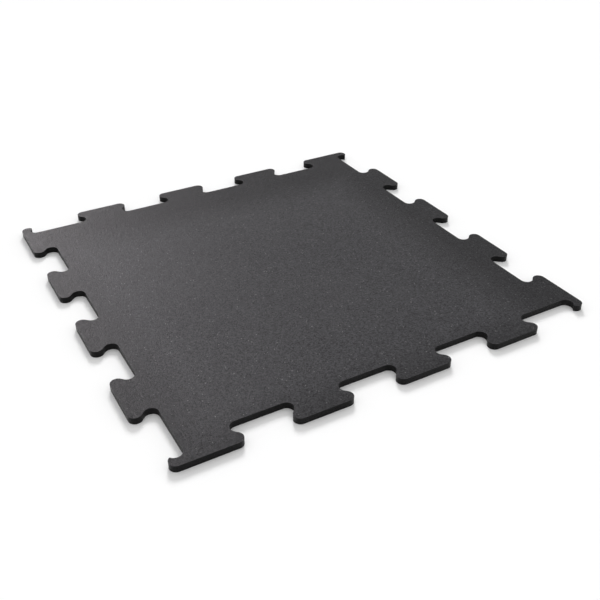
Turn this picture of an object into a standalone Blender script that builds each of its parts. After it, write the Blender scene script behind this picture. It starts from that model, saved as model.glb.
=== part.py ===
# Interlocking rubber tile: one flat sheet of bonded rubber crumb, cut square to
# its faces along a wavy line, so that every edge hooks into the next tile's edge.
# Units are metres, +Z is up, and the tile lies on Z = 0 with its centre over the
# origin. Every tile is alike: each side is the side before it, turned a quarter.

from math import ceil, cos, pi, radians, sin

import bmesh
import bpy
from mathutils import Matrix, Vector

# Driving dimensions.
PITCH = 0.945                # one laid tile to the next, along either edge
TAB_DEPTH = 0.0554           # tab head to recess floor, along the line of the cut
CUT_GAP = 0.0004             # slit that the cut leaves between two laid tiles
THICKNESS = 0.015
FLANK_SPACING = 0.1146       # one tab flank to the next, along a side
FLANK_RADIUS = 0.0147        # round of the tab's and the recess's corners
FLANK_LEAN = radians(46.0)   # lean of a flank's short straight, so that tabs hook
TIP_RADIUS = 0.0025          # round of the four pointed corner hooks
TABS_PER_SIDE = 4
ARC_STEP = radians(15.0)     # longest turn between two points of a round

RUBBER_COLOUR = (0.060, 0.060, 0.064, 1.0)
RUBBER_ROUGHNESS = 0.82

# Worked out from the dimensions above.
FLANKS_PER_SIDE = 2 * TABS_PER_SIDE
SETBACK = CUT_GAP / 2
SIDE_LINE = PITCH / 2


def clear_scene():
    for old_object in list(bpy.data.objects):
        bpy.data.objects.remove(old_object, do_unlink=True)


def arc(centre, radius, start, end):
    """Points of a round from one angle to another, both ends included."""
    steps = max(1, ceil(abs(end - start) / ARC_STEP - 1e-6))
    angles = [start + (end - start) * step / steps for step in range(steps + 1)]
    return [centre + radius * Vector((cos(angle), sin(angle))) for angle in angles]


def flank_reach():
    """From a flank's middle to the centre of its recess round, along X and Y.

    The centre of its tab round lies as far the other way. A short straight that
    leans by FLANK_LEAN joins the two rounds and passes through the middle.
    """
    rounds = 2 * FLANK_RADIUS * (1 + sin(FLANK_LEAN))
    straight = (TAB_DEPTH - rounds) / cos(FLANK_LEAN)
    along = FLANK_RADIUS * cos(FLANK_LEAN) - straight / 2 * sin(FLANK_LEAN)
    across = FLANK_RADIUS * sin(FLANK_LEAN) + straight / 2 * cos(FLANK_LEAN)
    return along, across


def tab_round(middle, side_of_tab):
    """The outer round of a flank, with the tab at side_of_tab: -1 left, +1 right."""
    along, across = flank_reach()
    centre = middle + Vector((side_of_tab * along, -across))
    radius = FLANK_RADIUS - SETBACK
    if side_of_tab < 0:
        return arc(centre, radius, -pi / 2, FLANK_LEAN)
    return arc(centre, radius, pi - FLANK_LEAN, 3 * pi / 2)


def recess_round(middle, side_of_tab):
    """The inner round of the same flank, which ends on the recess floor."""
    along, across = flank_reach()
    centre = middle + Vector((-side_of_tab * along, across))
    radius = FLANK_RADIUS + SETBACK
    if side_of_tab < 0:
        return arc(centre, radius, pi + FLANK_LEAN, pi / 2)
    return arc(centre, radius, pi / 2, -FLANK_LEAN)


def hook_tip(corner):
    """The pointed end of a corner hook: two straights meet there at a right angle."""
    inset = TIP_RADIUS + SETBACK
    towards_body = Vector((cos(FLANK_LEAN) - sin(FLANK_LEAN),
                           -cos(FLANK_LEAN) - sin(FLANK_LEAN)))
    start = pi / 2 - FLANK_LEAN
    return arc(corner + inset * towards_body, TIP_RADIUS, start, start + pi / 2)


def flank_middles():
    """Middles of the flanks between a side's two corners, evenly spaced about its middle."""
    inner_flanks = FLANKS_PER_SIDE - 1
    for number in range(inner_flanks):
        offset = number - (inner_flanks - 1) / 2
        yield Vector((offset * FLANK_SPACING, -SIDE_LINE))


def front_side():
    """The side that faces -Y, from its left corner to its right corner.

    It starts with a tab, whose first half-flank is the corner hook, and ends in
    a recess, whose last half-flank is the inside of the next side's hook.
    """
    left_corner = Vector((-SIDE_LINE, -SIDE_LINE))
    right_corner = Vector((SIDE_LINE, -SIDE_LINE))
    points = hook_tip(left_corner) + tab_round(left_corner, +1)
    for number, middle in enumerate(flank_middles()):
        if number % 2 == 0:
            points += tab_round(middle, -1) + recess_round(middle, -1)
        else:
            points += recess_round(middle, +1) + tab_round(middle, +1)
    return points + recess_round(right_corner, +1)


def tile_outline():
    """The whole outline, anticlockwise from above: the front side at four quarter turns."""
    outline = []
    for quarter in range(4):
        turn = Matrix.Rotation(quarter * pi / 2, 2)
        outline += [turn @ point for point in front_side()]
    return outline


def tile_mesh():
    """The outline as one face on the floor, raised to the tile's thickness."""
    form = bmesh.new()
    corners = [form.verts.new((point.x, point.y, 0.0)) for point in tile_outline()]
    underside = form.faces.new(corners)
    raised = bmesh.ops.extrude_face_region(form, geom=[underside], use_keep_orig=True)
    top_corners = [item for item in raised["geom"] if isinstance(item, bmesh.types.BMVert)]
    bmesh.ops.translate(form, verts=top_corners, vec=(0.0, 0.0, THICKNESS))
    bmesh.ops.recalc_face_normals(form, faces=form.faces)
    mesh = bpy.data.meshes.new("rubber_tile")
    form.to_mesh(mesh)
    form.free()
    return mesh


def rubber_material():
    material = bpy.data.materials.new("black_crumb_rubber")
    material.use_nodes = True
    shader = material.node_tree.nodes["Principled BSDF"]
    shader.inputs["Base Color"].default_value = RUBBER_COLOUR
    shader.inputs["Roughness"].default_value = RUBBER_ROUGHNESS
    shader.inputs["Metallic"].default_value = 0.0
    return material


def make_tile():
    mesh = tile_mesh()
    mesh.materials.append(rubber_material())
    tile = bpy.data.objects.new("rubber_tile", mesh)
    bpy.context.scene.collection.objects.link(tile)
    return tile


clear_scene()
make_tile()
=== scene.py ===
# %% [markdown]
# # An interlocking rubber tile
#
# The real tile is one piece of sheet: black rubber crumb, bonded with a binder, pressed flat and
# then cut along a wavy line. So there is only one shape to get right, and its charm is in small
# things: the hooked tabs, the slightly soft edge that a blade leaves, the torn grain of the cut
# and the fine speckle of crumbs in the pressed faces.
#
# This lesson first frames the picture, then lights it, then mixes the rubber from small shader
# groups, and last grows the tile itself with Geometry Nodes.

# %% Load the frame
from math import cos, pi, radians, sin

import bpy
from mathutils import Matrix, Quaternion, Vector


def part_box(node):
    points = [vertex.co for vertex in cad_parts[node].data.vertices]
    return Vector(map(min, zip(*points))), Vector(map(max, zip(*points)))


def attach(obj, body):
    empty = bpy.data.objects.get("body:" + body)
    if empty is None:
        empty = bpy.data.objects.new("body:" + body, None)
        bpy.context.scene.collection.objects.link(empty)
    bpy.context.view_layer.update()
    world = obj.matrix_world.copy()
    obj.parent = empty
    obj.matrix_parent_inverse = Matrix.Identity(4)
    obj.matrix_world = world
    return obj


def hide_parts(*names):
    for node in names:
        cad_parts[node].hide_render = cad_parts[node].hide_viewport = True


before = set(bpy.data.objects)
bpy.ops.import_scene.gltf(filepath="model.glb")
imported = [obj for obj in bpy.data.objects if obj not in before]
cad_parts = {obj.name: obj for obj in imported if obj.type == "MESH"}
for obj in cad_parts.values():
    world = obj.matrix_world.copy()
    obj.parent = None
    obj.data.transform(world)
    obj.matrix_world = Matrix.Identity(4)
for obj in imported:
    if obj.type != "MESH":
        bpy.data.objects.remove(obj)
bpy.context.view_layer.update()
tile_low, tile_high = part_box("rubber_tile")
print("tile from", tuple(tile_low), "to", tuple(tile_high))

# %% [markdown]
# ## The sizes
#
# The outline follows a rule, so a handful of sizes gives all of it. It could be traced point by
# point instead, but a trace can't be changed afterwards. The overall width and the thickness are
# read from the frame. The others describe one flank, which is the S-shaped stretch of the cut
# between a tab and the recess beside it.

# %% Sizes of the tile, in metres
OVERALL = tile_high.x - tile_low.x
THICKNESS = tile_high.z - tile_low.z
TAB_DEPTH = 0.0554
CUT_GAP = 0.0004
PITCH = OVERALL - TAB_DEPTH + CUT_GAP
FLANK_SPACING = 0.1146
FLANK_RADIUS = 0.0147
FLANK_LEAN = radians(46.0)
TIP_RADIUS = 0.0025
SIDES = 4
TABS_PER_SIDE = 4
print("tiles are laid", round(PITCH * 1000, 1), "mm apart")

# %% Sizes of the fine relief, in metres, and counts for each metre or square metre
CRUMB_RISE = 0.00015
EDGE_ROUND = 0.0004
WALL_STEP = 0.0025
WALL_ROW_HEIGHT = 0.0016
WALL_RELIEF = 0.00025
RELIEF_SCALE = 420.0
TOP_CRUMBS_PER_AREA = 9500.0
UNDERSIDE_CRUMBS_PER_AREA = 4500.0
CUT_CRUMBS_PER_AREA = 60000.0
print("crumbs stand up to", CRUMB_RISE * 1000, "mm out of the sheet")

# %% [markdown]
# ## The camera
#
# The tile is seen from above its front edge, turned so that one corner points at the viewer. The
# camera could be aimed by hand, with three angles, but those say little to a reader. So it has a
# place and a target. A track quaternion keeps its horizon level, and it is then rolled by the
# fraction of a degree that a hand-held camera leans.

# %% Camera at the photograph's angle
CAMERA_PLACE = Vector((-0.7644, -1.4537, 0.9952))
CAMERA_TARGET = Vector((-0.0276, -0.1382, 0.0))
CAMERA_LENS = 48.174
CAMERA_ROLL = radians(-0.171)
LENS_AXIS = (0.0, 0.0, 1.0)
NEAREST_SEEN = 0.01


def make_camera():
    lens = bpy.data.cameras.new("camera")
    lens.lens = CAMERA_LENS
    lens.clip_start = NEAREST_SEEN
    camera = bpy.data.objects.new("camera", lens)
    camera.location = CAMERA_PLACE
    level = (CAMERA_TARGET - CAMERA_PLACE).to_track_quat("-Z", "Y")
    camera.rotation_euler = (level @ Quaternion(LENS_AXIS, CAMERA_ROLL)).to_euler()
    bpy.context.scene.collection.objects.link(camera)
    bpy.context.scene.camera = camera
    return camera


camera = make_camera()
print(camera.name, "is", round((CAMERA_TARGET - CAMERA_PLACE).length, 3), "m from its target")

# %% [markdown]
# ## Helpers for node trees
#
# Shader trees and geometry trees are built the same way: a node is added, each of its sockets
# gets a value or another node's output, and one output goes on to the next node. One helper for
# that keeps every later cell short.

# %% Helpers for node trees


def socket_named(sockets, name):
    """A socket by its number, or the first one in use by its name."""
    if isinstance(name, int):
        return sockets[name]
    return next(socket for socket in sockets if socket.name == name and socket.enabled)


def place(tree, kind, sockets=None, take=0, **settings):
    """Adds a node, fills its sockets, and returns the output that take names."""
    made = tree.nodes.new(kind)
    for setting, value in settings.items():
        setattr(made, setting, value)
    for name, value in (sockets or {}).items():
        socket = socket_named(made.inputs, name)
        if isinstance(value, bpy.types.NodeSocket):
            tree.links.new(value, socket)
        else:
            socket.default_value = value
    return socket_named(made.outputs, take)


def calc(tree, operation, first, second=None, third=None):
    """One step of arithmetic on numbers."""
    given = [value for value in (first, second, third) if value is not None]
    return place(tree, "ShaderNodeMath", dict(enumerate(given)), operation=operation)


def vector(tree, x=0.0, y=0.0, z=0.0):
    return place(tree, "ShaderNodeCombineXYZ", {"X": x, "Y": y, "Z": z})


def add_sockets(tree, direction, sockets):
    """Gives a tree its named inputs or outputs, each with a kind and perhaps a value."""
    for name, kind, *value in sockets:
        made = tree.interface.new_socket(name, in_out=direction, socket_type="NodeSocket" + kind)
        if value:
            made.default_value = value[0]


def new_group(name, kind, inputs, outputs):
    """A node group, with the output sockets of its Group Input node by name."""
    tree = bpy.data.node_groups.new(name, kind)
    add_sockets(tree, "INPUT", inputs)
    add_sockets(tree, "OUTPUT", outputs)
    given = tree.nodes.new("NodeGroupInput").outputs
    return tree, {socket.name: socket for socket in given if socket.name}


def give_out(tree, results):
    """Links the finished values to the group's outputs."""
    out = tree.nodes.new("NodeGroupOutput")
    for name, value in results.items():
        tree.links.new(value, out.inputs[name])


def socket_names(tree, direction):
    return [socket.name for socket in tree.interface.items_tree if socket.in_out == direction]


# %% [markdown]
# ## Floor and light
#
# The tile lies on a seamless white floor. Such a floor turns grey easily under lamps that hang near
# it, so most of the light is a white sky, which is the same everywhere. A soft key light from
# behind adds the narrow shadow in front of the walls. The faint sheen on the left corner has
# another source in the photograph, so it gets its own light, low behind that corner. The key gives
# no highlight and the sheen light gives nothing but one, so each is set without spoiling the other.

# %% Floor
FLOOR_SIZE = 60.0
FLOOR_WHITE = (0.94, 0.94, 0.94, 1.0)


def make_floor():
    half = FLOOR_SIZE / 2
    corners = [(-half, -half, 0), (half, -half, 0), (half, half, 0), (-half, half, 0)]
    mesh = bpy.data.meshes.new("floor")
    mesh.from_pydata(corners, [], [(0, 1, 2, 3)])
    material = bpy.data.materials.new("white_floor")
    material.use_nodes = True
    shader = material.node_tree.nodes["Principled BSDF"]
    shader.inputs["Base Color"].default_value = FLOOR_WHITE
    shader.inputs["Roughness"].default_value = 1.0
    shader.inputs["Specular IOR Level"].default_value = 0.0
    mesh.materials.append(material)
    floor = bpy.data.objects.new("floor", mesh)
    bpy.context.scene.collection.objects.link(floor)
    return floor


floor = make_floor()
print(floor.name, "is", FLOOR_SIZE, "m wide")

# %% Light
SKY_WHITE = (1.0, 1.0, 1.0, 1.0)
SKY_STRENGTH = 0.75
KEY_AZIMUTH = radians(27.0)
KEY_ELEVATION = radians(31.0)
KEY_WIDTH = radians(18.0)
KEY_STRENGTH = 2.0
SHEEN_AZIMUTH = radians(-12.0)
SHEEN_ELEVATION = radians(26.0)
SHEEN_WIDTH = radians(20.0)
SHEEN_STRENGTH = 10.5
SHEEN_COLOUR = (1.0, 0.94, 0.97)
LAMP_DISTANCE = 3.0


def make_sky():
    world = bpy.data.worlds.new("white_studio")
    world.use_nodes = True
    background = world.node_tree.nodes["Background"]
    background.inputs["Color"].default_value = SKY_WHITE
    background.inputs["Strength"].default_value = SKY_STRENGTH
    bpy.context.scene.world = world
    bpy.context.scene.view_settings.view_transform = "Standard"


def make_far_light(name, azimuth, elevation, width, strength):
    """A soft light from far off. Azimuth counts from +Y towards +X, elevation up from the floor."""
    light = bpy.data.lights.new(name, "SUN")
    light.energy = strength
    light.angle = width
    lamp = bpy.data.objects.new(name, light)
    towards = Vector((sin(azimuth) * cos(elevation), cos(azimuth) * cos(elevation), sin(elevation)))
    lamp.location = LAMP_DISTANCE * towards
    lamp.rotation_euler = (-towards).to_track_quat("-Z", "Y").to_euler()
    bpy.context.scene.collection.objects.link(lamp)
    print(name, "shines from", tuple(round(part, 2) for part in lamp.location))
    return lamp


make_sky()
key_light = make_far_light("key_light", KEY_AZIMUTH, KEY_ELEVATION, KEY_WIDTH, KEY_STRENGTH)
key_light.visible_glossy = False
sheen_light = make_far_light("sheen_light", SHEEN_AZIMUTH, SHEEN_ELEVATION, SHEEN_WIDTH, SHEEN_STRENGTH)
sheen_light.visible_diffuse = False
sheen_light.data.color = SHEEN_COLOUR

# %% [markdown]
# ## What the rubber is made of
#
# Pressed crumb rubber is a patchwork of grains one to three millimetres wide. Each grain reflects
# a little differently, thin seams run between them, and here and there a pore is left open. Plain
# noise would give clouds without seams. Voronoi cells have seams, and each cell draws its own tone,
# so cells make the grains and noise only groups them. The effect is needed on the faces and on the
# cut, so it is a shader group that each material places with its own values.

# %% Shader group: crumb grain
CLUMP_SCALE = 0.5
CLUMP_LOW, CLUMP_HIGH = 0.3, 0.7
CLUMP_SHARE = 0.4
SEAM_WIDTH = 0.25
PIT_SCALE = 0.55
PIT_LEVEL, PIT_LEVEL_PER_SHARE = 0.25, 0.4
PIT_SOFTNESS = 0.06


def make_crumb_grain():
    tree, given = new_group(
        "crumb_grain", "ShaderNodeTree",
        [("Vector", "Vector"), ("Grains per Metre", "Float", 400.0), ("Pore Share", "Float", 0.2)],
        [("Tone", "Float"), ("Pores", "Float"), ("Height", "Float")])
    cell = place(tree, "ShaderNodeTexVoronoi",
                 {"Vector": given["Vector"], "Scale": given["Grains per Metre"]}, take="Color")
    grain_tone = place(tree, "ShaderNodeSeparateColor", {"Color": cell}, take="Red")
    clump_scale = calc(tree, "MULTIPLY", given["Grains per Metre"], CLUMP_SCALE)
    clump = place(tree, "ShaderNodeTexNoise",
                  {"Vector": given["Vector"], "Scale": clump_scale, "Detail": 2.0}, take="Fac")
    clump = place(tree, "ShaderNodeMapRange",
                  {"Value": clump, "From Min": CLUMP_LOW, "From Max": CLUMP_HIGH})
    tone = place(tree, "ShaderNodeMix", {"Factor": CLUMP_SHARE, "A": grain_tone, "B": clump},
                 take="Result")
    seam = place(tree, "ShaderNodeTexVoronoi",
                 {"Vector": given["Vector"], "Scale": given["Grains per Metre"]},
                 take="Distance", feature="DISTANCE_TO_EDGE")
    seam_height = place(tree, "ShaderNodeMapRange", {"Value": seam, "From Max": SEAM_WIDTH})
    pit_scale = calc(tree, "MULTIPLY", given["Grains per Metre"], PIT_SCALE)
    pit = place(tree, "ShaderNodeTexNoise",
                {"Vector": given["Vector"], "Scale": pit_scale, "Detail": 3.0}, take="Fac")
    pit_edge = calc(tree, "MULTIPLY_ADD", given["Pore Share"], PIT_LEVEL_PER_SHARE, PIT_LEVEL)
    pit_core = calc(tree, "SUBTRACT", pit_edge, PIT_SOFTNESS)
    pores = place(tree, "ShaderNodeMapRange",
                  {"Value": pit, "From Min": pit_edge, "From Max": pit_core})
    height = calc(tree, "SUBTRACT", calc(tree, "ADD", seam_height, clump), pores)
    give_out(tree, {"Tone": tone, "Pores": pores, "Height": height})
    return tree


crumb_grain = make_crumb_grain()
print(crumb_grain.name, "gives", socket_names(crumb_grain, "OUTPUT"))

# %% [markdown]
# ## Pale flecks
#
# A few crumbs come from the pale parts of old tyres, or carry talc from the press. They show as
# specks of grey, far apart. Noise cut at a high level would make specks too, but bunched and of
# every size. So each Voronoi cell draws a lot, and only the winners show a small dot. A finer
# noise shifts the cells first, which makes the dots ragged like torn crumbs.

# %% Shader group: pale flecks
RIPPLES_PER_CELL = 3.0
RIPPLE_REACH = 0.9
NOISE_MIDDLE = (0.5, 0.5, 0.5)
FLECK_EDGE, FLECK_CORE = 0.30, 0.24


def make_pale_flecks():
    tree, given = new_group(
        "pale_flecks", "ShaderNodeTree",
        [("Vector", "Vector"), ("Cells per Metre", "Float", 220.0), ("Share", "Float", 0.03)],
        [("Mask", "Float")])
    ripple_scale = calc(tree, "MULTIPLY", given["Cells per Metre"], RIPPLES_PER_CELL)
    ripple = place(tree, "ShaderNodeTexNoise",
                   {"Vector": given["Vector"], "Scale": ripple_scale, "Detail": 1.0}, take="Color")
    ripple = place(tree, "ShaderNodeVectorMath", {0: ripple, 1: NOISE_MIDDLE},
                   operation="SUBTRACT")
    reach = calc(tree, "DIVIDE", RIPPLE_REACH, given["Cells per Metre"])
    ripple = place(tree, "ShaderNodeVectorMath", {0: ripple, "Scale": reach}, operation="SCALE")
    ragged = place(tree, "ShaderNodeVectorMath", {0: given["Vector"], 1: ripple},
                   operation="ADD")
    cells = place(tree, "ShaderNodeTexVoronoi",
                  {"Vector": ragged, "Scale": given["Cells per Metre"]}, take="Distance")
    lot = place(tree, "ShaderNodeSeparateColor", {"Color": cells.node.outputs["Color"]},
                take="Green")
    wins = calc(tree, "LESS_THAN", lot, given["Share"])
    dot = place(tree, "ShaderNodeMapRange",
                {"Value": cells, "From Min": FLECK_EDGE, "From Max": FLECK_CORE})
    give_out(tree, {"Mask": calc(tree, "MULTIPLY", wins, dot)})
    return tree


pale_flecks = make_pale_flecks()
print(pale_flecks.name, "takes", socket_names(pale_flecks, "INPUT"))

# %% [markdown]
# ## Handling marks
#
# The sheet was stacked, dragged and carried. That leaves broad, hardly visible clouds of dust, and
# a few faint scuffs that run one way. They could be painted by hand on a texture, but then every
# tile would need its own. Here the clouds are slow noise, and the scuffs are noise stretched along
# one direction, so that they look like strokes.

# %% Shader group: handling marks
CLOUD_SWIRL = 0.6
CLOUD_LOW, CLOUD_HIGH = 0.35, 0.7
STROKE_TURN = (0.0, 0.0, 0.6)
STROKES_PER_METRE = (4.0, 90.0, 20.0)
STROKE_LEVEL, STROKE_LEVEL_PER_SHARE = 0.8, 0.3
STROKE_SOFTNESS = 0.08


def make_handling_marks():
    tree, given = new_group(
        "handling_marks", "ShaderNodeTree",
        [("Vector", "Vector"), ("Cloud Size", "Float", 0.25), ("Scuff Share", "Float", 0.3)],
        [("Dust", "Float"), ("Scuffs", "Float")])
    cloud_scale = calc(tree, "DIVIDE", 1.0, given["Cloud Size"])
    cloud = place(tree, "ShaderNodeTexNoise",
                  {"Vector": given["Vector"], "Scale": cloud_scale, "Detail": 4.0,
                   "Distortion": CLOUD_SWIRL}, take="Fac")
    dust = place(tree, "ShaderNodeMapRange",
                 {"Value": cloud, "From Min": CLOUD_LOW, "From Max": CLOUD_HIGH})
    strokes = place(tree, "ShaderNodeMapping",
                    {"Vector": given["Vector"], "Rotation": STROKE_TURN, "Scale": STROKES_PER_METRE})
    stroke = place(tree, "ShaderNodeTexNoise", {"Vector": strokes, "Scale": 1.0, "Detail": 3.0},
                   take="Fac")
    stroke_drop = calc(tree, "MULTIPLY", given["Scuff Share"], STROKE_LEVEL_PER_SHARE)
    stroke_edge = calc(tree, "SUBTRACT", STROKE_LEVEL, stroke_drop)
    stroke_core = calc(tree, "ADD", stroke_edge, STROKE_SOFTNESS)
    scuffs = place(tree, "ShaderNodeMapRange",
                   {"Value": stroke, "From Min": stroke_edge, "From Max": stroke_core})
    give_out(tree, {"Dust": dust, "Scuffs": scuffs})
    return tree


handling_marks = make_handling_marks()
print(handling_marks.name, "takes", socket_names(handling_marks, "INPUT"))

# %% [markdown]
# ## Three looks of one rubber
#
# The pressed faces are closed and slightly polished by the press plates. The cut is torn open, and
# single crumbs stand out of both. One material with a mask for each place could show all three,
# but it would be hard to read. So each look has its own material, and they share the groups above.
# Every pattern reads Object coordinates, so it sits still on the tile from any side.

# %% Helpers for materials


def add_group(tree, group, sockets):
    """Places a shader group and returns its outputs."""
    return place(tree, "ShaderNodeGroup", sockets, node_tree=group).node.outputs


def blend(tree, factor, first, second):
    """Mixes two colours."""
    return place(tree, "ShaderNodeMix", {"Factor": factor, "A": first, "B": second},
                 take="Result", data_type="RGBA")


def start_material(name, specular):
    """An opaque dielectric, with its tree, its shader and the coordinates its patterns use."""
    material = bpy.data.materials.new(name)
    material.use_nodes = True
    tree = material.node_tree
    shader = tree.nodes["Principled BSDF"]
    shader.inputs["Specular IOR Level"].default_value = specular
    return material, tree, shader, place(tree, "ShaderNodeTexCoord", take="Object")


def dose(tree, mask, share):
    """Weakens a mask to a share of its strength."""
    return calc(tree, "MULTIPLY", mask, share)


def link_looks(tree, shader, looks):
    for name, value in looks.items():
        tree.links.new(value, shader.inputs[name])


# %% [markdown]
# ## The pressed face
#
# The face is a dark grey with a dull shine, and dust lies in its grain. Its margins are darkened
# as painted shade. The margins could be found from the distance to the wavy edge, but the shade
# doesn't follow the tabs. A soft square on Object coordinates is closer, and its middle is a little
# off the tile's, so the painted shade is stronger at the back and right. The rim, which the tree of
# the sheet marks with an attribute, is painted a little paler, as a painted highlight on its edge.

# %% Material: pressed face
FACE_DARK = (0.017, 0.0168, 0.0179, 1.0)
FACE_LIGHT = (0.082, 0.0808, 0.0864, 1.0)
PORE_AND_SHADE_BLACK = (0.004, 0.004, 0.004, 1.0)
PORE_SHARE = 0.45
FLECK_GREY = (0.24, 0.236, 0.24, 1.0)
DUST_GREY = (0.10, 0.098, 0.10, 1.0)
DUST_SHARE = 0.10
SCUFF_SHARE = 0.25
# Painted highlight: the rounded rim is painted a little paler.
RIM_HIGHLIGHT_GREY = (0.085, 0.083, 0.086, 1.0)
RIM_HIGHLIGHT_SHARE = 0.5
# Painted shade: the face darkens towards black over its margins, around a middle set off the tile's.
SHADE_MIDDLE = (-0.035, -0.07, 0.0)
MARGIN_START = 0.33
MARGIN_END = 0.45
MARGIN_SHADE_SHARE = 0.46
FACE_SPECULAR = 0.04
FACE_ROUGHNESS = 0.36
FACE_GRAIN_ROUGHNESS = 0.12
FACE_DUST_ROUGHNESS = 0.06
FACE_RELIEF = 0.0002


def painted_shade_margin(tree, where):
    """A mask of painted shade that rises from nought to one over the outer hand's breadth of the sheet.
    """
    away = place(tree, "ShaderNodeVectorMath", {0: where, 1: SHADE_MIDDLE}, operation="SUBTRACT")
    reach = place(tree, "ShaderNodeVectorMath", {0: away}, operation="ABSOLUTE")
    parts = place(tree, "ShaderNodeSeparateXYZ", {"Vector": reach}).node.outputs
    furthest = calc(tree, "MAXIMUM", parts["X"], parts["Y"])
    return place(tree, "ShaderNodeMapRange",
                 {"Value": furthest, "From Min": MARGIN_START, "From Max": MARGIN_END})


def make_pressed_face():
    material, tree, shader, where = start_material("pressed_face", FACE_SPECULAR)
    grain = add_group(tree, crumb_grain,
                      {"Vector": where, "Grains per Metre": 460.0, "Pore Share": 0.34})
    flecks = add_group(tree, pale_flecks,
                       {"Vector": where, "Cells per Metre": 290.0, "Share": 0.035})
    marks = add_group(tree, handling_marks,
                      {"Vector": where, "Cloud Size": 0.25, "Scuff Share": 0.3})
    rim = place(tree, "ShaderNodeAttribute", take="Fac", attribute_name="rim")
    colour = blend(tree, grain["Tone"], FACE_DARK, FACE_LIGHT)
    colour = blend(tree, dose(tree, grain["Pores"], PORE_SHARE), colour, PORE_AND_SHADE_BLACK)
    colour = blend(tree, dose(tree, marks["Dust"], DUST_SHARE), colour, DUST_GREY)
    colour = blend(tree, dose(tree, marks["Scuffs"], SCUFF_SHARE), colour, DUST_GREY)
    colour = blend(tree, flecks["Mask"], colour, FLECK_GREY)
    # painted shade: the margins are darkened towards black
    margin = painted_shade_margin(tree, where)
    colour = blend(tree, dose(tree, margin, MARGIN_SHADE_SHARE), colour, PORE_AND_SHADE_BLACK)
    # painted highlight: the rounded rim is painted a little paler
    colour = blend(tree, dose(tree, rim, RIM_HIGHLIGHT_SHARE), colour, RIM_HIGHLIGHT_GREY)
    rough = calc(tree, "MULTIPLY_ADD", grain["Tone"], FACE_GRAIN_ROUGHNESS, FACE_ROUGHNESS)
    rough = calc(tree, "MULTIPLY_ADD", marks["Dust"], FACE_DUST_ROUGHNESS, rough)
    relief = place(tree, "ShaderNodeBump", {"Height": grain["Height"], "Distance": FACE_RELIEF})
    link_looks(tree, shader, {"Base Color": colour, "Roughness": rough, "Normal": relief})
    return material


face_rubber = make_pressed_face()
print(face_rubber.name, "has", len(face_rubber.node_tree.nodes), "nodes")

# %% [markdown]
# ## The cut edge
#
# The blade leaves a wall of sliced and torn crumbs. It is nearly black when seen straight on: partly
# because its pores swallow the light, and partly because its colour is painted shade. Seen along the
# wall, the sliced crumbs mirror the white floor and it looks as light as the top. A lighter colour
# would show from every side, so the base stays black and a lower roughness makes that glancing shine.

# %% Material: cut edge
# The cut's colours are darker than the face's: partly the torn porous crumb, partly painted shade on
# the walls.
CUT_DARK = (0.001, 0.001, 0.001, 1.0)
CUT_LIGHT = (0.011, 0.0108, 0.0112, 1.0)
CUT_PORE_BLACK = (0.002, 0.002, 0.002, 1.0)
CUT_DUST_SHARE = 0.08
CUT_FLECK_SHARE = 0.6
CUT_SPECULAR = 0.09
CUT_ROUGHNESS = 0.28
CUT_GRAIN_ROUGHNESS = 0.10
CUT_RELIEF = 0.0001


def make_cut_edge():
    material, tree, shader, where = start_material("cut_edge", CUT_SPECULAR)
    grain = add_group(tree, crumb_grain,
                      {"Vector": where, "Grains per Metre": 600.0, "Pore Share": 0.55})
    flecks = add_group(tree, pale_flecks,
                       {"Vector": where, "Cells per Metre": 560.0, "Share": 0.04})
    marks = add_group(tree, handling_marks,
                      {"Vector": where, "Cloud Size": 0.12, "Scuff Share": 0.1})
    colour = blend(tree, grain["Tone"], CUT_DARK, CUT_LIGHT)
    colour = blend(tree, grain["Pores"], colour, CUT_PORE_BLACK)
    colour = blend(tree, dose(tree, marks["Dust"], CUT_DUST_SHARE), colour, DUST_GREY)
    colour = blend(tree, dose(tree, flecks["Mask"], CUT_FLECK_SHARE), colour, DUST_GREY)
    rough = calc(tree, "MULTIPLY_ADD", grain["Tone"], CUT_GRAIN_ROUGHNESS, CUT_ROUGHNESS)
    relief = place(tree, "ShaderNodeBump", {"Height": grain["Height"], "Distance": CUT_RELIEF})
    link_looks(tree, shader, {"Base Color": colour, "Roughness": rough, "Normal": relief})
    return material


cut_rubber = make_cut_edge()
print(cut_rubber.name, "has", len(cut_rubber.node_tree.nodes), "nodes")

# %% [markdown]
# ## The finish of a standing crumb
#
# A crumb that stands out has its own torn surface, and no two are equally light. A material for
# each tone would be many materials. Instead every crumb carries one number, its lot, as an
# attribute, and the material turns that number into a tone. Squaring it keeps most crumbs dark.

# %% Material: standing crumb
CRUMB_DARK = (0.008, 0.008, 0.008, 1.0)
FACE_CRUMB_LIGHT = (0.11, 0.107, 0.11, 1.0)
# The cut's crumbs are darker than the face's in the same way: partly torn crumb, partly painted shade.
CUT_CRUMB_LIGHT = (0.035, 0.034, 0.035, 1.0)
CRUMB_GRAIN_SHARE = 0.3
CRUMB_SPECULAR = 0.2
CRUMB_ROUGHNESS = 0.65
CRUMB_POLISH = -0.15
CRUMB_RELIEF = 0.0001


def make_standing_crumb(name, lightest):
    material, tree, shader, where = start_material(name, CRUMB_SPECULAR)
    grain = add_group(tree, crumb_grain,
                      {"Vector": where, "Grains per Metre": 1500.0, "Pore Share": 0.2})
    lot = place(tree, "ShaderNodeAttribute", take="Fac", attribute_name="crumb_tone")
    lot = calc(tree, "POWER", lot, 2.0)
    colour = blend(tree, lot, CRUMB_DARK, lightest)
    colour = blend(tree, dose(tree, grain["Tone"], CRUMB_GRAIN_SHARE), colour, CRUMB_DARK)
    rough = calc(tree, "MULTIPLY_ADD", lot, CRUMB_POLISH, CRUMB_ROUGHNESS)
    relief = place(tree, "ShaderNodeBump", {"Height": grain["Height"], "Distance": CRUMB_RELIEF})
    link_looks(tree, shader, {"Base Color": colour, "Roughness": rough, "Normal": relief})
    return material


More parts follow.
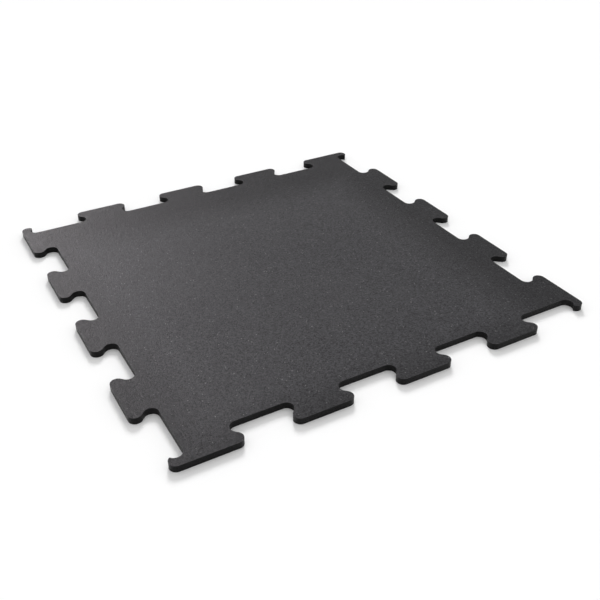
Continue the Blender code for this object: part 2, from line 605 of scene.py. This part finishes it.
face_crumb_rubber = make_standing_crumb("face_crumb", FACE_CRUMB_LIGHT)
cut_crumb_rubber = make_standing_crumb("cut_crumb", CUT_CRUMB_LIGHT)
print(face_crumb_rubber.name, "and", cut_crumb_rubber.name, "share one recipe")

# %% [markdown]
# ## The outline
#
# The cut line makes four hooked tabs and four recesses on each side, and all four sides are alike.
# The tabs could be cut from a square with Booleans, but those leave ragged points, and the wall
# needs even ones. So the tree follows the rule of the cut. One tab and the recess after it are four
# rounds: two bulge out at the tab's corners and two bite in at the recess's corners. The straight
# lines between them need no modelling at all. Points to Curves joins the points of the rounds in
# order, and draws the straights by itself.

# %% Geometry Nodes: helpers for curves
ROUND_STEPS = 24
TIP_STEPS = 8
QUARTER = pi / 2


def half(tree, value):
    return calc(tree, "MULTIPLY", value, 0.5)


def opposite(tree, value):
    return calc(tree, "MULTIPLY", value, -1.0)


def add_round(tree, centre, radius, start, sweep, steps=ROUND_STEPS):
    """An arc about its centre. Angles count from +X towards +Y, and a negative sweep runs back."""
    curve = place(tree, "GeometryNodeCurveArc",
                  {"Resolution": steps + 1, "Radius": radius, "Start Angle": start,
                   "Sweep Angle": sweep}, mode="RADIUS")
    return place(tree, "GeometryNodeTransform", {"Geometry": curve, "Translation": centre})


def join(tree, parts):
    """Joins geometries in the order of the list. A new link goes to the front of the node."""
    joined = tree.nodes.new("GeometryNodeJoinGeometry")
    for part in reversed(parts):
        tree.links.new(part, joined.inputs[0])
    return joined.outputs[0]


def through_points(tree, curves):
    """One curve through the points of all curves, in their order."""
    points = place(tree, "GeometryNodeCurveToPoints", {"Curve": curves}, mode="EVALUATED")
    return place(tree, "GeometryNodePointsToCurves", {"Points": points})


# %% Geometry Nodes: the sizes of a flank
OUTLINE_SIZES = {"Pitch": PITCH, "Tab Depth": TAB_DEPTH, "Cut Gap": CUT_GAP,
                 "Flank Spacing": FLANK_SPACING, "Flank Radius": FLANK_RADIUS,
                 "Flank Lean": FLANK_LEAN, "Tip Radius": TIP_RADIUS}


def work_out_flank(tree, given):
    """The inputs, with the sizes that follow from them.

    Along and Across lead from the middle of a flank to the centre of the round next to it.
    Setback is the half of the cut gap that is missing from each of two laid tiles.
    """
    sine = calc(tree, "SINE", given["Flank Lean"])
    cosine = calc(tree, "COSINE", given["Flank Lean"])
    rounds = calc(tree, "MULTIPLY", calc(tree, "ADD", sine, 1.0),
                  calc(tree, "MULTIPLY", given["Flank Radius"], 2.0))
    straight = calc(tree, "DIVIDE", calc(tree, "SUBTRACT", given["Tab Depth"], rounds), cosine)
    half_straight = half(tree, straight)
    along = calc(tree, "SUBTRACT", calc(tree, "MULTIPLY", given["Flank Radius"], cosine),
                 calc(tree, "MULTIPLY", half_straight, sine))
    across = calc(tree, "ADD", calc(tree, "MULTIPLY", given["Flank Radius"], sine),
                  calc(tree, "MULTIPLY", half_straight, cosine))
    half_pitch = half(tree, given["Pitch"])
    return given | {"Sine": sine, "Cosine": cosine, "Along": along, "Across": across,
                    "Setback": half(tree, given["Cut Gap"]), "Half Pitch": half_pitch,
                    "Side Line": opposite(tree, half_pitch)}


# %% Geometry Nodes: one tab and the recess after it


def add_tab_and_recess(tree, size):
    """Four rounds, left to right, with the flank between tab and recess at the origin.

    The tab reaches out towards -Y, because the first side is the front one.
    """
    outward = opposite(tree, size["Across"])
    tab_left = vector(tree, calc(tree, "SUBTRACT", size["Along"], size["Flank Spacing"]), outward)
    tab_right = vector(tree, opposite(tree, size["Along"]), outward)
    recess_left = vector(tree, size["Along"], size["Across"])
    recess_right = vector(tree, calc(tree, "SUBTRACT", size["Flank Spacing"], size["Along"]),
                          size["Across"])
    tab_radius = calc(tree, "SUBTRACT", size["Flank Radius"], size["Setback"])
    recess_radius = calc(tree, "ADD", size["Flank Radius"], size["Setback"])
    mirrored_lean = calc(tree, "SUBTRACT", pi, size["Flank Lean"])
    turned_lean = calc(tree, "ADD", pi, size["Flank Lean"])
    sweep = calc(tree, "ADD", size["Flank Lean"], QUARTER)
    back_sweep = opposite(tree, sweep)
    return join(tree, [
        add_round(tree, tab_left, tab_radius, mirrored_lean, sweep),
        add_round(tree, tab_right, tab_radius, -QUARTER, sweep),
        add_round(tree, recess_left, recess_radius, turned_lean, back_sweep),
        add_round(tree, recess_right, recess_radius, QUARTER, back_sweep)])


# %% Geometry Nodes: one side


def add_row(tree, size, unit):
    """Repeats the tab and its recess along the side line."""
    first = calc(tree, "MULTIPLY", size["Flank Spacing"], -float(TABS_PER_SIDE - 1))
    step = calc(tree, "MULTIPLY", size["Flank Spacing"], 2.0)
    places = place(tree, "GeometryNodeMeshLine",
                   {"Count": TABS_PER_SIDE, "Offset": vector(tree, step),
                    "Start Location": vector(tree, first, size["Side Line"])}, mode="OFFSET")
    row = place(tree, "GeometryNodeInstanceOnPoints", {"Points": places, "Instance": unit})
    return place(tree, "GeometryNodeRealizeInstances", {"Geometry": row})


def spread_ends(tree, size, row):
    """Moves the first and the last round of a row out to the corners of the pitch."""
    x_place = place(tree, "ShaderNodeSeparateXYZ",
                    {"Vector": place(tree, "GeometryNodeInputPosition")}, take="X")
    end_rounds = calc(tree, "MULTIPLY", size["Flank Spacing"], TABS_PER_SIDE - 0.5)
    is_end = calc(tree, "GREATER_THAN", calc(tree, "ABSOLUTE", x_place), end_rounds)
    half_row = calc(tree, "MULTIPLY", size["Flank Spacing"], float(TABS_PER_SIDE))
    stretch = calc(tree, "SUBTRACT", size["Half Pitch"], half_row)
    push = vector(tree, calc(tree, "MULTIPLY", stretch, calc(tree, "SIGN", x_place)))
    return place(tree, "GeometryNodeSetPosition",
                 {"Geometry": row, "Selection": is_end, "Offset": push})


def add_tip(tree, size):
    """The blunt point of the hook at the left corner of the side."""
    inset = calc(tree, "ADD", size["Tip Radius"], size["Setback"])
    aside = calc(tree, "MULTIPLY", inset, calc(tree, "SUBTRACT", size["Cosine"], size["Sine"]))
    outward = calc(tree, "MULTIPLY", inset, calc(tree, "ADD", size["Cosine"], size["Sine"]))
    centre = vector(tree, calc(tree, "ADD", size["Side Line"], aside),
                    calc(tree, "SUBTRACT", size["Side Line"], outward))
    start = calc(tree, "SUBTRACT", QUARTER, size["Flank Lean"])
    return add_round(tree, centre, size["Tip Radius"], start, QUARTER, TIP_STEPS)


# %% Geometry Nodes: the closed outline


def make_outline_tree():
    tree, given = new_group(
        "hooked_outline", "GeometryNodeTree",
        [(name, "Float") for name in OUTLINE_SIZES], [("Outline", "Geometry")])
    size = work_out_flank(tree, given)
    row = add_row(tree, size, add_tab_and_recess(tree, size))
    side = join(tree, [add_tip(tree, size), spread_ends(tree, size, row)])
    # one point for each side, all at the origin, and each side turned by its point's number
    middles = place(tree, "GeometryNodePoints", {"Count": SIDES})
    turn = calc(tree, "MULTIPLY", place(tree, "GeometryNodeInputIndex"), QUARTER)
    sides = place(tree, "GeometryNodeInstanceOnPoints",
                  {"Points": middles, "Instance": side, "Rotation": vector(tree, z=turn)})
    sides = place(tree, "GeometryNodeRealizeInstances", {"Geometry": sides})
    outline = place(tree, "GeometryNodeSetSplineCyclic",
                    {"Geometry": through_points(tree, sides), "Cyclic": True})
    give_out(tree, {"Outline": outline})
    return tree


outline_tree = make_outline_tree()
print(outline_tree.name, "has", len(outline_tree.nodes), "nodes")

# %% [markdown]
# ## The sheet
#
# The sheet is the outline given a thickness, with a rim that the blade has pressed soft. An
# extruded outline with a bevel would show that much, but its wall would have no points for the torn
# relief of the cut. So the wall is swept: a profile that bends in at top and bottom runs along the
# outline, like a moulding along a picture frame. The straights of both are divided first, which
# gives the relief its points. Both faces are then filled in, each inside its own rim.

# %% Geometry Nodes: divide the long stretches of a curve


def make_divide_tree():
    tree, given = new_group(
        "divide_straights", "GeometryNodeTree",
        [("Curve", "Geometry"), ("Longest", "Float", WALL_STEP)], [("Curve", "Geometry")])
    count = place(tree, "GeometryNodeAttributeDomainSize", {"Geometry": given["Curve"]},
                  take="Point Count", component="CURVE")
    index = place(tree, "GeometryNodeInputIndex")
    next_index = calc(tree, "MODULO", calc(tree, "ADD", index, 1.0), count)
    here = place(tree, "GeometryNodeInputPosition")
    there = place(tree, "GeometryNodeFieldAtIndex", {"Value": here, "Index": next_index},
                  data_type="FLOAT_VECTOR")
    length = place(tree, "ShaderNodeVectorMath", {0: here, 1: there}, take="Value",
                   operation="DISTANCE")
    cuts = calc(tree, "FLOOR", calc(tree, "DIVIDE", length, given["Longest"]))
    divided = place(tree, "GeometryNodeSubdivideCurve", {"Curve": given["Curve"], "Cuts": cuts})
    give_out(tree, {"Curve": divided})
    return tree


divide_tree = make_divide_tree()
print(divide_tree.name, "takes", socket_names(divide_tree, "INPUT"))


def divide(tree, curve, longest):
    return place(tree, "GeometryNodeGroup", {"Curve": curve, "Longest": longest},
                 node_tree=divide_tree)


# %% Geometry Nodes: the profile of the wall
EDGE_STEPS = 4
PROFILE_SIZES = {"Thickness": THICKNESS, "Crumb Rise": CRUMB_RISE, "Edge Round": EDGE_ROUND,
                 "Row Height": WALL_ROW_HEIGHT}


def make_profile_tree():
    """The wall from bottom to top, seen along the outline: X is outward and Y is down."""
    tree, size = new_group(
        "wall_profile", "GeometryNodeTree",
        [(name, "Float") for name in PROFILE_SIZES], [("Profile", "Geometry")])
    inset = calc(tree, "ADD", size["Crumb Rise"], size["Edge Round"])
    low = vector(tree, opposite(tree, inset), inset)
    high = vector(tree, opposite(tree, inset), calc(tree, "SUBTRACT", size["Thickness"], inset))
    rounds = join(tree, [
        add_round(tree, low, size["Edge Round"], -QUARTER, QUARTER, EDGE_STEPS),
        add_round(tree, high, size["Edge Round"], 0.0, QUARTER, EDGE_STEPS)])
    profile = divide(tree, through_points(tree, rounds), size["Row Height"])
    profile = place(tree, "GeometryNodeTransform", {"Geometry": profile, "Scale": (1.0, -1.0, 1.0)})
    give_out(tree, {"Profile": profile})
    return tree


profile_tree = make_profile_tree()
print(profile_tree.name, "takes", socket_names(profile_tree, "INPUT"))

# %% Geometry Nodes: the wall
SHEET_SIZES = PROFILE_SIZES | {"Longest": WALL_STEP, "Wall Relief": WALL_RELIEF,
                               "Relief Scale": RELIEF_SCALE}


def height_above_floor(tree):
    position = place(tree, "GeometryNodeInputPosition")
    return place(tree, "ShaderNodeSeparateXYZ", {"Vector": position}, take="Z")


def from_mid_height(tree, thickness):
    """How far a point lies above or below the middle of the thickness."""
    middle = half(tree, thickness)
    return calc(tree, "ABSOLUTE", calc(tree, "SUBTRACT", height_above_floor(tree), middle))


def roughen(tree, wall, given, reach):
    """Pushes the wall inward by noise, between its two rims, as a blade tears bonded crumb."""
    noise = place(tree, "ShaderNodeTexNoise", {"Scale": given["Relief Scale"], "Detail": 2.0},
                  take="Fac", noise_dimensions="3D")
    depth = calc(tree, "MULTIPLY", noise, opposite(tree, given["Wall Relief"]))
    inward = place(tree, "ShaderNodeVectorMath",
                   {0: place(tree, "GeometryNodeInputNormal"), "Scale": depth}, operation="SCALE")
    between = calc(tree, "LESS_THAN", from_mid_height(tree, given["Thickness"]), reach)
    return place(tree, "GeometryNodeSetPosition",
                 {"Geometry": wall, "Selection": between, "Offset": inward})


def sweep_wall(tree, given):
    """Runs the profile along the outline. A sweep faces inwards, so its faces are flipped."""
    outline = place(tree, "GeometryNodeGroup", {name: given[name] for name in OUTLINE_SIZES},
                    node_tree=outline_tree)
    outline = divide(tree, outline, given["Longest"])
    outline = place(tree, "GeometryNodeSetCurveNormal", {"Curve": outline}, mode="Z_UP")
    profile = place(tree, "GeometryNodeGroup", {name: given[name] for name in PROFILE_SIZES},
                    node_tree=profile_tree)
    wall = place(tree, "GeometryNodeCurveToMesh", {"Curve": outline, "Profile Curve": profile})
    return place(tree, "GeometryNodeFlipFaces", {"Mesh": wall})


def dress_wall(tree, wall, on_rim, given):
    """Gives the cut its material, and the rims above and below it that of the faces."""
    wall = place(tree, "GeometryNodeStoreNamedAttribute",
                 {"Geometry": wall, "Name": "rim", "Value": on_rim},
                 data_type="FLOAT", domain="FACE")
    wall = place(tree, "GeometryNodeSetMaterial",
                 {"Geometry": wall, "Material": given["Cut Material"]})
    wall = place(tree, "GeometryNodeSetMaterial",
                 {"Geometry": wall, "Selection": on_rim, "Material": given["Face Material"]})
    return place(tree, "GeometryNodeSetShadeSmooth", {"Geometry": wall, "Shade Smooth": True})


# %% Geometry Nodes: the faces
OPEN_EDGE_LIMIT = 1.5


def fill_face(tree, wall, above_middle, given):
    """Fills the wall's upper or lower rim with one flat face, at the height of that rim.

    An edge of the rim has one face beside it, and every other edge of the wall has two.
    """
    open_edge = calc(tree, "LESS_THAN", place(tree, "GeometryNodeInputMeshEdgeNeighbors"),
                     OPEN_EDGE_LIMIT)
    on_side = calc(tree, "GREATER_THAN" if above_middle else "LESS_THAN",
                   height_above_floor(tree), half(tree, given["Thickness"]))
    rim = place(tree, "GeometryNodeMeshToCurve",
                {"Mesh": wall, "Selection": calc(tree, "MULTIPLY", open_edge, on_side)})
    face = place(tree, "GeometryNodeFillCurve", {"Curve": rim}, mode="NGONS")
    if above_middle:
        level = calc(tree, "SUBTRACT", given["Thickness"], given["Crumb Rise"])
    else:
        level = given["Crumb Rise"]
        face = place(tree, "GeometryNodeFlipFaces", {"Mesh": face})
    return place(tree, "GeometryNodeTransform",
                 {"Geometry": face, "Translation": vector(tree, z=level)})


# %% Geometry Nodes: the sheet
WELD_DISTANCE = 0.00001


def make_sheet_tree():
    tree, given = new_group(
        "tile_sheet", "GeometryNodeTree",
        [(name, "Float") for name in OUTLINE_SIZES | SHEET_SIZES]
        + [("Face Material", "Material"), ("Cut Material", "Material")],
        [("Geometry", "Geometry")])
    rim_height = calc(tree, "ADD", given["Crumb Rise"], given["Edge Round"])
    straight_reach = calc(tree, "SUBTRACT", half(tree, given["Thickness"]), rim_height)
    wall = roughen(tree, sweep_wall(tree, given), given, straight_reach)
    on_rim = calc(tree, "GREATER_THAN", from_mid_height(tree, given["Thickness"]), straight_reach)
    wall = dress_wall(tree, wall, on_rim, given)
    faces = join(tree, [fill_face(tree, wall, True, given), fill_face(tree, wall, False, given)])
    faces = place(tree, "GeometryNodeSetMaterial",
                  {"Geometry": faces, "Material": given["Face Material"]})
    sheet = place(tree, "GeometryNodeMergeByDistance",
                  {"Geometry": join(tree, [wall, faces]), "Distance": WELD_DISTANCE})
    sheet = place(tree, "GeometryNodeRealizeInstances", {"Geometry": sheet})
    give_out(tree, {"Geometry": sheet})
    return tree


sheet_tree = make_sheet_tree()
print(sheet_tree.name, "has", len(sheet_tree.nodes), "nodes and",
      len(socket_names(sheet_tree, "INPUT")), "inputs")

# %% [markdown]
# ## Growing a piece
#
# A tree does nothing until a modifier runs it on an object. The modifier could stay there, live,
# but a finished piece should be a plain mesh that other programs can read. So the piece is grown
# once, the result is kept as its mesh, and the modifier goes.

# %% Helper: grow a piece


def grow(tree, name, values):
    """Runs a tree on an empty object, keeps the result as a plain mesh, and drops the modifier."""
    grown = bpy.data.objects.new(name, bpy.data.meshes.new(name))
    bpy.context.scene.collection.objects.link(grown)
    modifier = grown.modifiers.new("grow", "NODES")
    modifier.node_group = tree
    for socket in tree.interface.items_tree:
        if socket.in_out == "INPUT":
            modifier[socket.identifier] = values[socket.name]
    bpy.context.view_layer.update()
    depsgraph = bpy.context.evaluated_depsgraph_get()
    mesh = bpy.data.meshes.new_from_object(grown.evaluated_get(depsgraph))
    grown.modifiers.remove(modifier)
    grown.data = mesh
    mesh.name = name
    mesh.calc_loop_triangles()
    size = tuple(round(side * 1000, 2) for side in grown.dimensions)
    print(name, "has", len(mesh.loop_triangles), "triangles and measures", size, "mm")
    return grown


# %% Grow the sheet
sheet = grow(sheet_tree, "tile_sheet",
             OUTLINE_SIZES | SHEET_SIZES | {"Face Material": face_rubber, "Cut Material": cut_rubber})
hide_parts("rubber_tile")
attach(sheet, "root")

# %% [markdown]
# ## Crumbs that stand out
#
# The press flattens the crumbs but doesn't hide them: some stand up to 0.15 mm proud. Displacing
# the faces would show them too, but only with millions of points. So points land on the chosen
# faces at random, and each carries a flattened ball with its own width, turn, and lot for its tone.
# The sheet is made that much smaller, so that the crumbs fill it up to the tile's true size.

# %% Geometry Nodes: scattered crumbs
UP = (0.0, 0.0, 1.0)
NARROWEST, FLATTEST = 0.6, 0.4
SPIN_DRAW, WIDTH_DRAW, SHAPE_DRAW, RISE_DRAW, TONE_DRAW = 1, 2, 3, 4, 5


def random_value(tree, low, high, seed):
    return place(tree, "FunctionNodeRandomValue", {"Min": low, "Max": high, "Seed": seed},
                 take="Value")


def choose_faces(tree, given):
    """Picks the faces that look the given way, and that keep their margin from the rims."""
    normal_z = place(tree, "ShaderNodeSeparateXYZ",
                     {"Vector": place(tree, "GeometryNodeInputNormal")}, take="Z")
    tilt = calc(tree, "ABSOLUTE", calc(tree, "SUBTRACT", normal_z, given["Facing"]))
    right_way = calc(tree, "LESS_THAN", tilt, given["Tilt"])
    reach = calc(tree, "SUBTRACT", half(tree, given["Thickness"]), given["Rim Margin"])
    in_reach = calc(tree, "LESS_THAN", from_mid_height(tree, given["Thickness"]), reach)
    return calc(tree, "MULTIPLY", right_way, in_reach)


def shape_crumbs(tree, points, given):
    """Sets a flattened ball on each point, half sunk in the face, turned and sized at random."""
    spin = place(tree, "FunctionNodeAxisAngleToRotation",
                 {"Axis": UP, "Angle": random_value(tree, 0.0, 2 * pi, SPIN_DRAW)})
    turned = place(tree, "FunctionNodeRotateRotation",
                   {"Rotation": points.node.outputs["Rotation"], "Rotate By": spin},
                   rotation_space="LOCAL")
    wide = random_value(tree, given["Smallest Radius"], given["Largest Radius"], WIDTH_DRAW)
    narrow = calc(tree, "MULTIPLY", wide, random_value(tree, NARROWEST, 1.0, SHAPE_DRAW))
    rise = calc(tree, "MULTIPLY", given["Crumb Rise"], random_value(tree, FLATTEST, 1.0, RISE_DRAW))
    ball = place(tree, "GeometryNodeMeshIcoSphere", {"Radius": 1.0, "Subdivisions": 1})
    return place(tree, "GeometryNodeInstanceOnPoints",
                 {"Points": points, "Instance": ball, "Rotation": turned,
                  "Scale": vector(tree, wide, narrow, rise)})


def make_crumbs_tree():
    tree, given = new_group(
        "standing_crumbs", "GeometryNodeTree",
        [("Sheet", "Object"), ("Facing", "Float"), ("Tilt", "Float"), ("Crumbs per Area", "Float"),
         ("Crumb Rise", "Float"), ("Smallest Radius", "Float"), ("Largest Radius", "Float"),
         ("Thickness", "Float"), ("Rim Margin", "Float"), ("Seed", "Int"), ("Material", "Material")],
        [("Geometry", "Geometry")])
    surface = place(tree, "GeometryNodeObjectInfo", {"Object": given["Sheet"]}, take="Geometry")
    points = place(tree, "GeometryNodeDistributePointsOnFaces",
                   {"Mesh": surface, "Selection": choose_faces(tree, given),
                    "Density": given["Crumbs per Area"], "Seed": given["Seed"]})
    crumbs = shape_crumbs(tree, points, given)
    lot = random_value(tree, 0.0, 1.0, TONE_DRAW)
    crumbs = place(tree, "GeometryNodeStoreNamedAttribute",
                   {"Geometry": crumbs, "Name": "crumb_tone", "Value": lot},
                   data_type="FLOAT", domain="INSTANCE")
    crumbs = place(tree, "GeometryNodeRealizeInstances", {"Geometry": crumbs})
    crumbs = place(tree, "GeometryNodeSetMaterial",
                   {"Geometry": crumbs, "Material": given["Material"]})
    give_out(tree, {"Geometry": crumbs})
    return tree


crumbs_tree = make_crumbs_tree()
print(crumbs_tree.name, "takes", socket_names(crumbs_tree, "INPUT"))

# %% Helper: grow one layer of crumbs
FACES_PER_CRUMB = 20


def grow_crumbs(name, facing, tilt, per_area, radii, margin, seed, material):
    """Facing is the Z part of the normals of the faces to use, and tilt is how far it may differ."""
    smallest, largest = radii
    crumbs = grow(crumbs_tree, name,
                  {"Sheet": sheet, "Facing": facing, "Tilt": tilt, "Crumbs per Area": per_area,
                   "Crumb Rise": CRUMB_RISE, "Smallest Radius": smallest, "Largest Radius": largest,
                   "Thickness": THICKNESS, "Rim Margin": margin, "Seed": seed,
                   "Material": material})
    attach(crumbs, "root")
    print(name, "are", len(crumbs.data.polygons) // FACES_PER_CRUMB, "crumbs")


# %% Grow the crumbs of the two faces
FACE_UP, FACE_DOWN = 1.0, -1.0
FACE_TILT = 0.01
FACE_CRUMB_RADII = (0.00035, 0.0007)
grow_crumbs("top_crumbs", facing=FACE_UP, tilt=FACE_TILT, per_area=TOP_CRUMBS_PER_AREA,
            radii=FACE_CRUMB_RADII, margin=0.0, seed=11, material=face_crumb_rubber)
grow_crumbs("underside_crumbs", facing=FACE_DOWN, tilt=FACE_TILT, per_area=UNDERSIDE_CRUMBS_PER_AREA,
            radii=FACE_CRUMB_RADII, margin=0.0, seed=12, material=face_crumb_rubber)

# %% [markdown]
# ## Crumbs of the cut
#
# The blade slices some crumbs and tears others loose, so those of the wall are smaller and much
# closer together than those of the faces. They could be a second tree. But the same one serves,
# because all that differs is in its inputs: the faces it uses are the ones that look sideways, and
# a margin keeps the crumbs off the rims.

# %% Grow the crumbs of the cut
FACE_SIDEWAYS = 0.0
WALL_TILT = 0.3
CUT_CRUMB_RADII = (0.0003, 0.0006)
CUT_CRUMB_MARGIN = 0.001
grow_crumbs("cut_crumbs", facing=FACE_SIDEWAYS, tilt=WALL_TILT, per_area=CUT_CRUMBS_PER_AREA,
            radii=CUT_CRUMB_RADII, margin=CUT_CRUMB_MARGIN, seed=13, material=cut_crumb_rubber)
